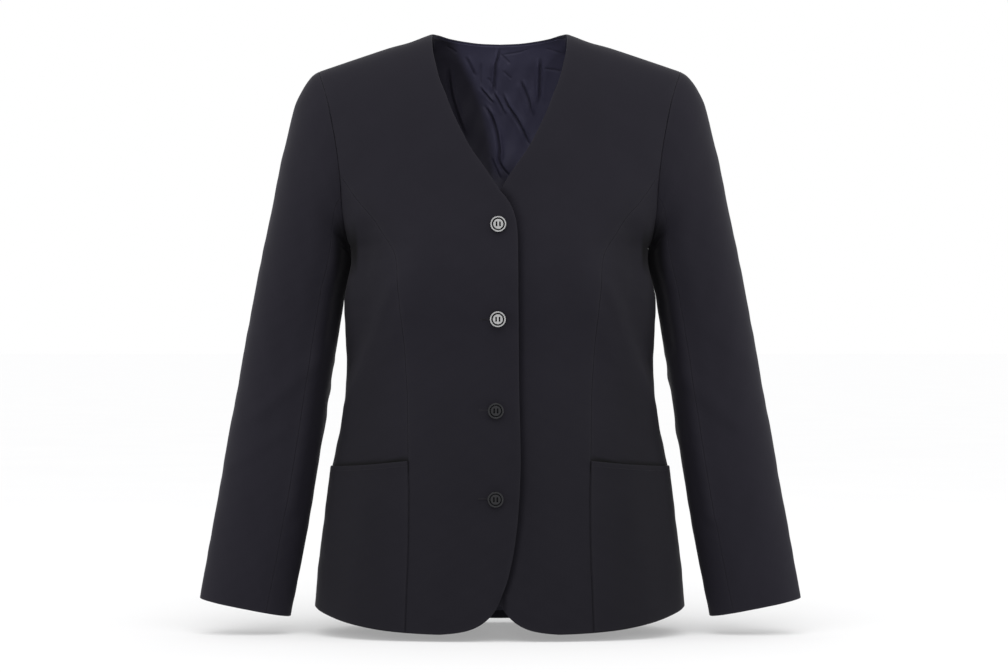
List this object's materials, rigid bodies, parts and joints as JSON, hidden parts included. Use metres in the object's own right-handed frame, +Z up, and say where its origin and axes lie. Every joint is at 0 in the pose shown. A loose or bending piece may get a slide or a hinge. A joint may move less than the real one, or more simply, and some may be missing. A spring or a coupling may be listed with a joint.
{
  "type": "collarless blazer",
  "caption": "Collarless V-neck blazer with princess seams, patch pockets, long two-piece sleeves and a rounded cutaway front.",
  "frame": {"origin": "midway between the two shoulder points, where the armhole seams meet the shoulder seams; the hands or form that hold the garment there are the mount 'shoulders'", "axes": "+X to the wearer's left, +Y to the wearer's back, +Z up"},
  "size_m": [0.6844, 0.2487, 0.6826],
  "materials": {
    "wool": "matte, fine worsted weave, near black with a faint violet cast",
    "satin": "soft satin, navy",
    "resin": "glossy, near black",
    "thread": "dull sewing thread, near black"
  },
  "bodies": {
    "root": {"front_right": "wool", "front_left": "wool", "side_front_right": "wool", "side_front_left": "wool", "back_right": "wool", "back_left": "wool", "sleeve_top_right": "wool", "sleeve_top_left": "wool", "sleeve_under_right": "wool", "sleeve_under_left": "wool", "pocket_right": "wool", "pocket_left": "wool", "lining_back": "satin", "button_1": "resin", "button_2": "resin", "button_3": "resin", "button_4": "resin"}
  },
  "joints": []
}
